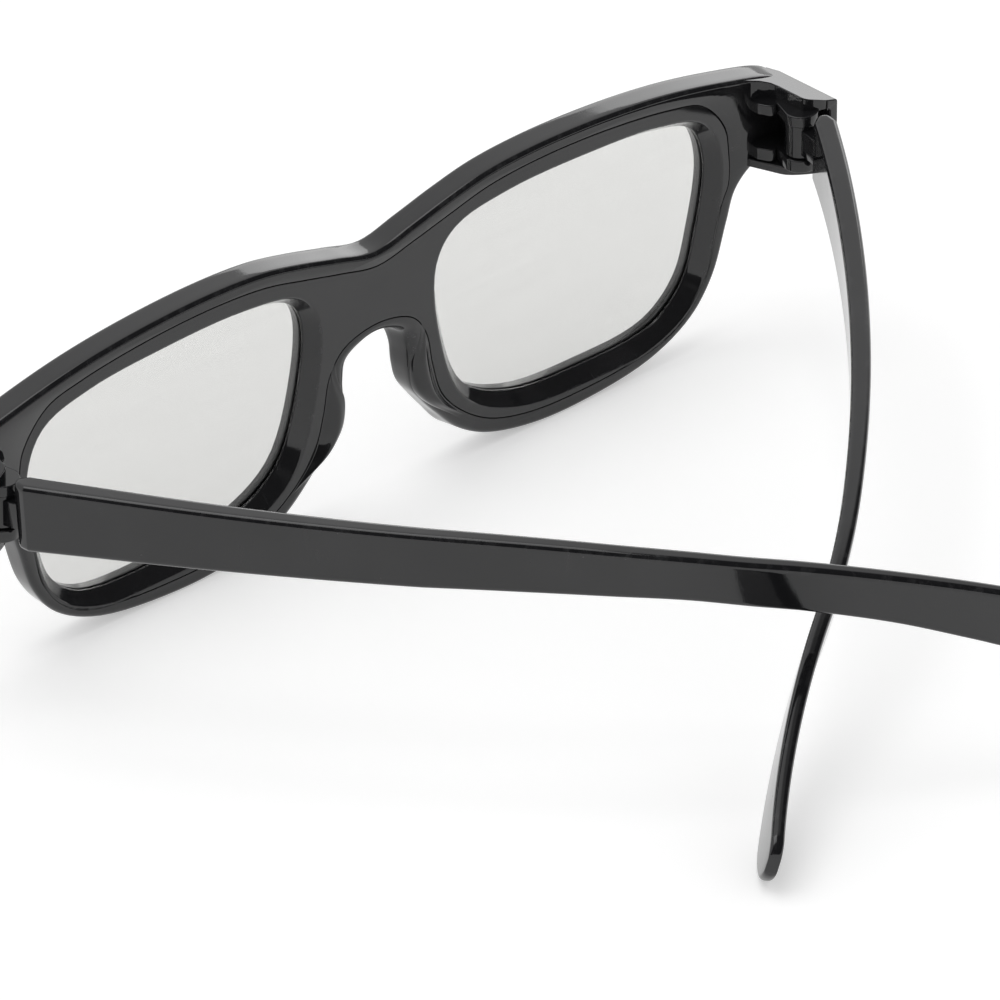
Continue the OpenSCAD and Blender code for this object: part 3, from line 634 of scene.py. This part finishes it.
def moulded_surface():
    """Glossy injection moulding: long faint ripples and a fine grain in the normal, and hairline scratches,
    rubbed patches, worn edges and specks of dust in roughness and colour."""
    group = bpy.data.node_groups.get("moulded_surface")
    if group:
        return group
    group = shared_group(
        "moulded_surface",
        [("Vector", "v"), ("Wear", "f"), ("Plastic", "c"), ("Rubbed", "c"), ("Gloss", "f"), ("Ripple", "f")],
        [("Colour", "c"), ("Roughness", "f"), ("Normal", "v")])
    add, link = nodes_of(group)
    given, out = add("NodeGroupInput"), add("NodeGroupOutput")

    def noise(scale, detail, stretch=None, turn=(0, 0, 0)):
        node = add("ShaderNodeTexNoise", {"Scale": scale, "Detail": detail, "Roughness": 0.5})
        where = given.outputs["Vector"]
        if stretch:
            mapping = add("ShaderNodeMapping", {"Scale": stretch, "Rotation": turn})
            link(where, mapping.inputs["Vector"])
            where = mapping.outputs[0]
        link(where, node.inputs["Vector"])
        return node.outputs[0]

    def ramp(value, low, high):
        node = add("ShaderNodeMapRange", {"From Min": low, "From Max": high, "To Min": 0.0, "To Max": 1.0})
        link(value, node.inputs["Value"])
        return node.outputs[0]

    def math_of(kind, a, b):
        node = add("ShaderNodeMath", operation=kind)
        for k, v in enumerate((a, b)):
            if isinstance(v, (int, float)):
                node.inputs[k].default_value = v
            else:
                link(v, node.inputs[k])
        return node.outputs[0]

    def weighted(total, *terms):
        """A value and, added to it, each term's value times its weight."""
        for value, weight in terms:
            total = math_of("ADD", total, math_of("MULTIPLY", value, weight))
        return total

    ripple = math_of("MULTIPLY", noise(230, 1.5), given.outputs["Ripple"])
    height = weighted(ripple, (noise(5200, 2), 0.035))
    bump = add("ShaderNodeBump", {"Strength": 0.5, "Distance": 0.00012})
    link(height, bump.inputs["Height"])
    rubbed = ramp(noise(75, 5), 0.5, 0.72)
    hair = math_of("ADD", ramp(noise(60, 3, (1, 30, 6), (0.4, 0.2, 0.9)), 0.66, 0.72),
                   ramp(noise(55, 3, (26, 2, 1), (0.1, 0.7, -0.5)), 0.67, 0.73))
    chafe = math_of("MULTIPLY", given.outputs["Wear"], ramp(noise(620, 5), 0.5, 0.64))
    cells = add("ShaderNodeTexVoronoi", {"Scale": 640, "Randomness": 1.0})
    link(given.outputs["Vector"], cells.inputs["Vector"])
    pick = add("ShaderNodeSeparateColor")
    link(cells.outputs["Color"], pick.inputs[0])
    few = ramp(pick.outputs[0], 0.95, 0.96)
    speck = math_of("MULTIPLY", ramp(cells.outputs["Distance"], 0.11, 0.05), few)
    rough = weighted(given.outputs["Gloss"], (rubbed, 0.07), (hair, 0.05), (chafe, 0.1), (speck, 0.4))
    tone = weighted(speck, (chafe, 0.2), (rubbed, 0.1), (hair, 0.1))
    mix = add("ShaderNodeMix", data_type="RGBA")
    link(ramp(tone, 0.0, 1.0), mix.inputs["Factor"])
    link(given.outputs["Plastic"], mix.inputs[6])
    link(given.outputs["Rubbed"], mix.inputs[7])
    link(mix.outputs[2], out.inputs["Colour"])
    link(rough, out.inputs["Roughness"])
    link(bump.outputs[0], out.inputs["Normal"])
    return group


def new_material(name):
    """A new material, its shader, and short ways to add and to link nodes in its tree."""
    material = bpy.data.materials.new(name)
    material.use_nodes = True
    return material, material.node_tree.nodes["Principled BSDF"], *nodes_of(material.node_tree)


def plastic(name, colour, gloss, ripple):
    """A gloss plastic with the shared moulded surface, worn along the piece's own edges."""
    found = bpy.data.materials.get(name)
    if found:
        return found
    material, shader, add, link = new_material(name)
    shader.inputs["IOR"].default_value = 1.53
    place = add("ShaderNodeTexCoord")
    wear = add("ShaderNodeAttribute", attribute_name="wear")
    rubbed = [min(1.0, c * 2.2 + 0.035) for c in colour] + [1.0]
    values = {"Plastic": [*colour, 1.0], "Rubbed": rubbed, "Gloss": gloss, "Ripple": ripple}
    surface = add("ShaderNodeGroup", node_tree=moulded_surface())
    for label, value in values.items():
        surface.inputs[label].default_value = value
    link(place.outputs["Object"], surface.inputs["Vector"])
    link(wear.outputs["Fac"], surface.inputs["Wear"])
    link(surface.outputs["Colour"], shader.inputs["Base Color"])
    link(surface.outputs["Roughness"], shader.inputs["Roughness"])
    link(surface.outputs["Normal"], shader.inputs["Normal"])
    return material


def film(name, tint, rough, refraction):
    """A clear sheet with a faint drawn streak and a few smudges in its roughness and tint."""
    found = bpy.data.materials.get(name)
    if found:
        return found
    material, shader, add, link = new_material(name)
    shader.inputs["Transmission Weight"].default_value = 1.0
    shader.inputs["IOR"].default_value = refraction
    place = add("ShaderNodeTexCoord")
    drawn = add("ShaderNodeMapping", {"Scale": (9.0, 9.0, 160.0)})
    streak = add("ShaderNodeTexNoise", {"Scale": 6.0, "Detail": 3.0})
    smudge = add("ShaderNodeTexNoise", {"Scale": 55.0, "Detail": 4.0, "Roughness": 0.6})
    link(place.outputs["Object"], drawn.inputs["Vector"])
    link(drawn.outputs[0], streak.inputs["Vector"])
    link(place.outputs["Object"], smudge.inputs["Vector"])
    shade = add("ShaderNodeMapRange", {"From Min": 0.3, "From Max": 0.7, "To Min": 0.0, "To Max": 1.0})
    link(streak.outputs[0], shade.inputs["Value"])
    mix = add("ShaderNodeMix", data_type="RGBA")
    link(shade.outputs[0], mix.inputs["Factor"])
    mix.inputs[6].default_value = [c * 0.996 for c in tint] + [1.0]
    mix.inputs[7].default_value = [min(1.0, c * 1.003) for c in tint] + [1.0]
    link(mix.outputs[2], shader.inputs["Base Color"])
    matt = add("ShaderNodeMapRange", {
        "From Min": 0.52, "From Max": 0.75, "To Min": rough, "To Max": rough + 0.012})
    link(smudge.outputs[0], matt.inputs["Value"])
    link(matt.outputs[0], shader.inputs["Roughness"])
    # light for shadows goes straight through: each face takes the root of the tint and mirrors a little
    clear = add("ShaderNodeBsdfTransparent", {"Color": [c**0.5 * 0.97 for c in tint] + [1.0]})
    path = add("ShaderNodeLightPath")
    through = add("ShaderNodeMixShader")
    link(path.outputs["Is Shadow Ray"], through.inputs[0])
    link(shader.outputs[0], through.inputs[1])
    link(clear.outputs[0], through.inputs[2])
    link(through.outputs[0], material.node_tree.nodes["Material Output"].inputs[0])
    return material


def seen_as_white(tree, light, lift):
    """Mixes light for lighting with lift for what the camera, gloss and glass see, by the kind of ray."""
    add, link = nodes_of(tree)
    path = add("ShaderNodeLightPath")
    seen = path.outputs["Is Camera Ray"]
    for kind in ("Is Glossy Ray", "Is Transmission Ray"):
        either = add("ShaderNodeMath", operation="MAXIMUM")
        link(seen, either.inputs[0])
        link(path.outputs[kind], either.inputs[1])
        seen = either.outputs[0]
    mix = add("ShaderNodeMixShader")
    link(seen, mix.inputs[0])
    link(light, mix.inputs[1])
    link(lift, mix.inputs[2])
    return mix.outputs[0]


# ---------------------------------------------------------------- settings a user would change


class SpectaclesShape(bpy.types.PropertyGroup):
    """Roundings and curve steps of the moulded pieces."""

    edge: bpy.props.FloatProperty(
        name="Shell edge", description="Rounding of the shell's outer edges",
        default=0.0008, min=0.0004, max=0.0011, unit="LENGTH", precision=5)
    fillet: bpy.props.FloatProperty(
        name="Small edge", description="Rounding of openings and housings",
        default=0.00014, min=0.00005, max=0.0003, unit="LENGTH", precision=5)
    steps: bpy.props.IntProperty(
        name="Curve steps", description="Points to each span of the outlines", default=6, min=2, max=12)


class SpectaclesFinish(bpy.types.PropertyGroup):
    """Colours and gloss of the plastics and films."""

    shell_colour: bpy.props.FloatVectorProperty(
        name="Shell", description="Colour of the front shell",
        default=(0.011, 0.011, 0.012), subtype="COLOR", size=3, min=0, max=1)
    plate_colour: bpy.props.FloatVectorProperty(
        name="Rear plate", description="Colour of the rear plate",
        default=(0.012, 0.012, 0.013), subtype="COLOR", size=3, min=0, max=1)
    temple_colour: bpy.props.FloatVectorProperty(
        name="Temples", description="Colour of the temples",
        default=(0.010, 0.010, 0.011), subtype="COLOR", size=3, min=0, max=1)
    gloss: bpy.props.FloatProperty(
        name="Roughness", description="Roughness of the polished moulding",
        default=0.055, min=0.03, max=0.6, subtype="FACTOR")
    ripple: bpy.props.FloatProperty(
        name="Ripple", description="Height of the long ripples in the moulding",
        default=0.22, min=0, max=2)
    film_tint: bpy.props.FloatVectorProperty(
        name="Films", description="Tint of the polarising film",
        default=(0.72, 0.72, 0.706), subtype="COLOR", size=3, min=0, max=1)
    floor_colour: bpy.props.FloatVectorProperty(
        name="Floor", description="Colour of the table",
        default=(0.8, 0.8, 0.8), subtype="COLOR", size=3, min=0, max=1)


# ---------------------------------------------------------------- operators


class SPECTACLES_OT_front_shell(bpy.types.Operator):
    """Build the front shell with its nose pads and hinge housings"""

    bl_idname = "spectacles.front_shell"
    bl_label = "Front Shell"

    def execute(self, context):
        shape, look = context.scene.spectacles_shape, context.scene.spectacles_finish
        skin = Skin()
        shell_body(skin, shape.steps, shape.edge * 1000, shape.fillet * 1000)
        for side in (1, -1):
            nose_pad(skin, side)
            hinge_housing(skin, side, shape.fillet * 1000)
        finish_piece(skin, "front_shell_moulding", "front", "front_shell",
                     plastic("black_shell", look.shell_colour, look.gloss, look.ripple))
        return {"FINISHED"}


class SPECTACLES_OT_rear_plate(bpy.types.Operator):
    """Build the rear plate that closes the shell behind the films"""

    bl_idname = "spectacles.rear_plate"
    bl_label = "Rear Plate"

    def execute(self, context):
        shape, look = context.scene.spectacles_shape, context.scene.spectacles_finish
        skin = Skin()
        plate_body(skin, shape.steps, shape.fillet * 1000)
        finish_piece(skin, "rear_plate_moulding", "front", "rear_plate",
                     plastic("black_rear_plate", look.plate_colour, look.gloss + 0.02, look.ripple * 0.8))
        return {"FINISHED"}


class SPECTACLES_OT_films(bpy.types.Operator):
    """Build the three films of each lens: retarder, polariser and carrier"""

    bl_idname = "spectacles.films"
    bl_label = "Lens Films"

    def execute(self, context):
        shape, look = context.scene.spectacles_shape, context.scene.spectacles_finish
        tint = np.array(look.film_tint)
        faint = tint**0.02
        # bonded sheets mirror little between them, so the inner one bends light least
        layers = (("retarder", RETARDER_T, faint, 0.0, 1.3), ("polarising", POLARISER_T, tint, 0.0, 1.05),
                  ("carrier", CARRIER_T, faint, 0.004, 1.3))
        y = PLATE_Y
        for kind, thick, colour, rough, refraction in layers:
            material = film(f"clear_{kind}", [float(c) for c in colour], rough, refraction)
            for side, name in ((1, "right"), (-1, "left")):
                loop = lens_loop(shape.steps, FILM_GRIP - 0.01)
                skin = Skin()
                skin.prism(loop if side > 0 else flipped(loop), at_depth, y + FILM_AIR, y + thick - FILM_AIR,
                           FILM_EDGE, steps=2)
                finish_piece(skin, f"{name}_{kind}_sheet", "front", f"{name}_{kind}_film",
                             material)
            y += thick
        return {"FINISHED"}


class SPECTACLES_OT_temples(bpy.types.Operator):
    """Build both temples on their hinge axes"""

    bl_idname = "spectacles.temples"
    bl_label = "Temples"

    def execute(self, context):
        look = context.scene.spectacles_finish
        material = plastic("black_temples", look.temple_colour, look.gloss, look.ripple)
        for name, raised in (("left_temple", 1), ("right_temple", -1)):
            skin = Skin()
            temple_body(skin, raised)
            finish_piece(skin, f"{name}_moulding", name, name, material,
                         place=folded, mirror=raised > 0)
        return {"FINISHED"}


class SPECTACLES_OT_stage(bpy.types.Operator):
    """Build the pale table, the soft lights and the camera"""

    bl_idname = "spectacles.stage"
    bl_label = "Stage"

    def execute(self, context):
        scene, look = context.scene, context.scene.spectacles_finish
        mesh = bpy.data.meshes.new("table_top")
        signs = ((-1, -1), (1, -1), (1, 1), (-1, 1))
        corners = [(x * TABLE_HALF, y * TABLE_HALF, -TABLE_GAP) for x, y in signs]
        mesh.from_pydata(corners, [], [(0, 1, 2, 3)])
        floor = bpy.data.objects.new("table_top", mesh)
        scene.collection.objects.link(floor)
        material, unlit, add, link = new_material("table_white")
        tree = material.node_tree
        tree.nodes.remove(unlit)
        plain = add("ShaderNodeBsdfDiffuse", {"Color": [*look.floor_colour, 1.0]})
        glow = add("ShaderNodeEmission", {"Color": (1, 1, 1, 1), "Strength": FLOOR_LIFT})
        both = add("ShaderNodeAddShader")
        link(plain.outputs[0], both.inputs[0])
        link(glow.outputs[0], both.inputs[1])
        link(seen_as_white(tree, plain.outputs[0], both.outputs[0]), tree.nodes["Material Output"].inputs[0])
        mesh.materials.append(material)

        world = bpy.data.worlds.new("soft_white")
        scene.world = world
        world.use_nodes = True
        tree = world.node_tree
        add, link = nodes_of(tree)
        light = tree.nodes["Background"]
        light.inputs["Color"].default_value = (1, 1, 1, 1)
        light.inputs["Strength"].default_value = ROOM_LIGHT
        white = add("ShaderNodeBackground", {"Color": (1, 1, 1, 1), "Strength": 1.0})
        # gloss sees a white room ahead and a dark one above and behind the camera
        way = add("ShaderNodeTexCoord")
        part = add("ShaderNodeSeparateXYZ")
        link(way.outputs["Generated"], part.inputs[0])
        limits = {"From Min": -0.05, "From Max": 0.25, "To Min": DARK_ROOM, "To Max": 1.0}
        ahead = add("ShaderNodeMapRange", limits, interpolation_type="SMOOTHSTEP")
        link(part.outputs["Y"], ahead.inputs["Value"])
        room = add("ShaderNodeBackground", {"Color": (1, 1, 1, 1)})
        link(ahead.outputs[0], room.inputs["Strength"])
        path = add("ShaderNodeLightPath")
        seen = add("ShaderNodeMixShader")
        link(path.outputs["Is Glossy Ray"], seen.inputs[0])
        link(white.outputs[0], seen.inputs[1])
        link(room.outputs[0], seen.inputs[2])
        link(seen_as_white(tree, light.outputs[0], seen.outputs[0]), tree.nodes["World Output"].inputs[0])

        def lamp(name, place, aim, size, power):
            data = bpy.data.lights.new(name, "AREA")
            data.shape, data.size, data.size_y, data.energy = "RECTANGLE", size[0], size[1], power
            holder = bpy.data.objects.new(name, data)
            scene.collection.objects.link(holder)
            holder.location = place
            holder.rotation_euler = (Vector(aim) - Vector(place)).to_track_quat("-Z", "Y").to_euler()

        lamp("window_beyond", (1.25, 0.85, 0.55), (0, 0.02, 0.02), (1.0, 0.6), 3.3)
        lamp("window_above", (-0.3, 0.2, 1.7), (0, 0, 0), (1.2, 1.2), 8.0)

        # a far camera with a long lens, placed in the front's own frame
        right = np.array([math.cos(CAMERA_TURN), -math.sin(CAMERA_TURN), 0.0])
        ahead = math.cos(CAMERA_TIP) * np.array([math.sin(CAMERA_TURN), math.cos(CAMERA_TURN), 0.0])
        ahead[2] = -math.sin(CAMERA_TIP)
        up = np.cross(right, ahead)
        place = stood([AIM_RIGHT * right + AIM_UP * up - CAMERA_FAR * ahead])[0]
        data = bpy.data.cameras.new("photo_camera")
        data.sensor_width, data.lens = SENSOR_W, SENSOR_W * CAMERA_FAR * PIXELS_PER_MM / PICTURE_W
        data.clip_start, data.clip_end = 0.5, 12.0
        camera = bpy.data.objects.new("photo_camera", data)
        scene.collection.objects.link(camera)
        spin = Matrix.Rotation(LEAN, 3, "X")
        axes = Matrix([Vector(v) for v in (right, up, -ahead)]).transposed()
        camera.matrix_world = Matrix.Translation(Vector(place)) @ (spin @ axes).to_4x4()
        scene.camera = camera
        scene.view_settings.view_transform = "Standard"
        return {"FINISHED"}


class SPECTACLES_PT_panel(bpy.types.Panel):
    """Lists the pieces and their settings"""

    bl_idname = "SPECTACLES_PT_panel"
    bl_label = "Spectacles"
    bl_space_type = "VIEW_3D"
    bl_region_type = "UI"
    bl_category = "Spectacles"

    def draw(self, context):
        for group in (context.scene.spectacles_shape, context.scene.spectacles_finish):
            for key in group.bl_rna.properties.keys():
                if key not in ("rna_type", "name"):
                    self.layout.prop(group, key)
        for operator in OPERATORS:
            self.layout.operator(operator.bl_idname)


OPERATORS = (SPECTACLES_OT_front_shell, SPECTACLES_OT_rear_plate, SPECTACLES_OT_films,
             SPECTACLES_OT_temples, SPECTACLES_OT_stage)
CLASSES = (SpectaclesShape, SpectaclesFinish, *OPERATORS, SPECTACLES_PT_panel)


def register():
    """Make the settings, operators and panel known to Blender"""
    for item in CLASSES:
        bpy.utils.register_class(item)
    bpy.types.Scene.spectacles_shape = bpy.props.PointerProperty(type=SpectaclesShape)
    bpy.types.Scene.spectacles_finish = bpy.props.PointerProperty(type=SpectaclesFinish)


def unregister():
    """Take the settings, operators and panel away again"""
    del bpy.types.Scene.spectacles_finish, bpy.types.Scene.spectacles_shape
    for item in reversed(CLASSES):
        bpy.utils.unregister_class(item)


def main():
    """Build everything at its default settings"""
    register()
    bpy.ops.spectacles.front_shell()
    bpy.ops.spectacles.rear_plate()
    bpy.ops.spectacles.films()
    bpy.ops.spectacles.temples()
    bpy.ops.spectacles.stage()


if __name__ == "__main__":
    main()
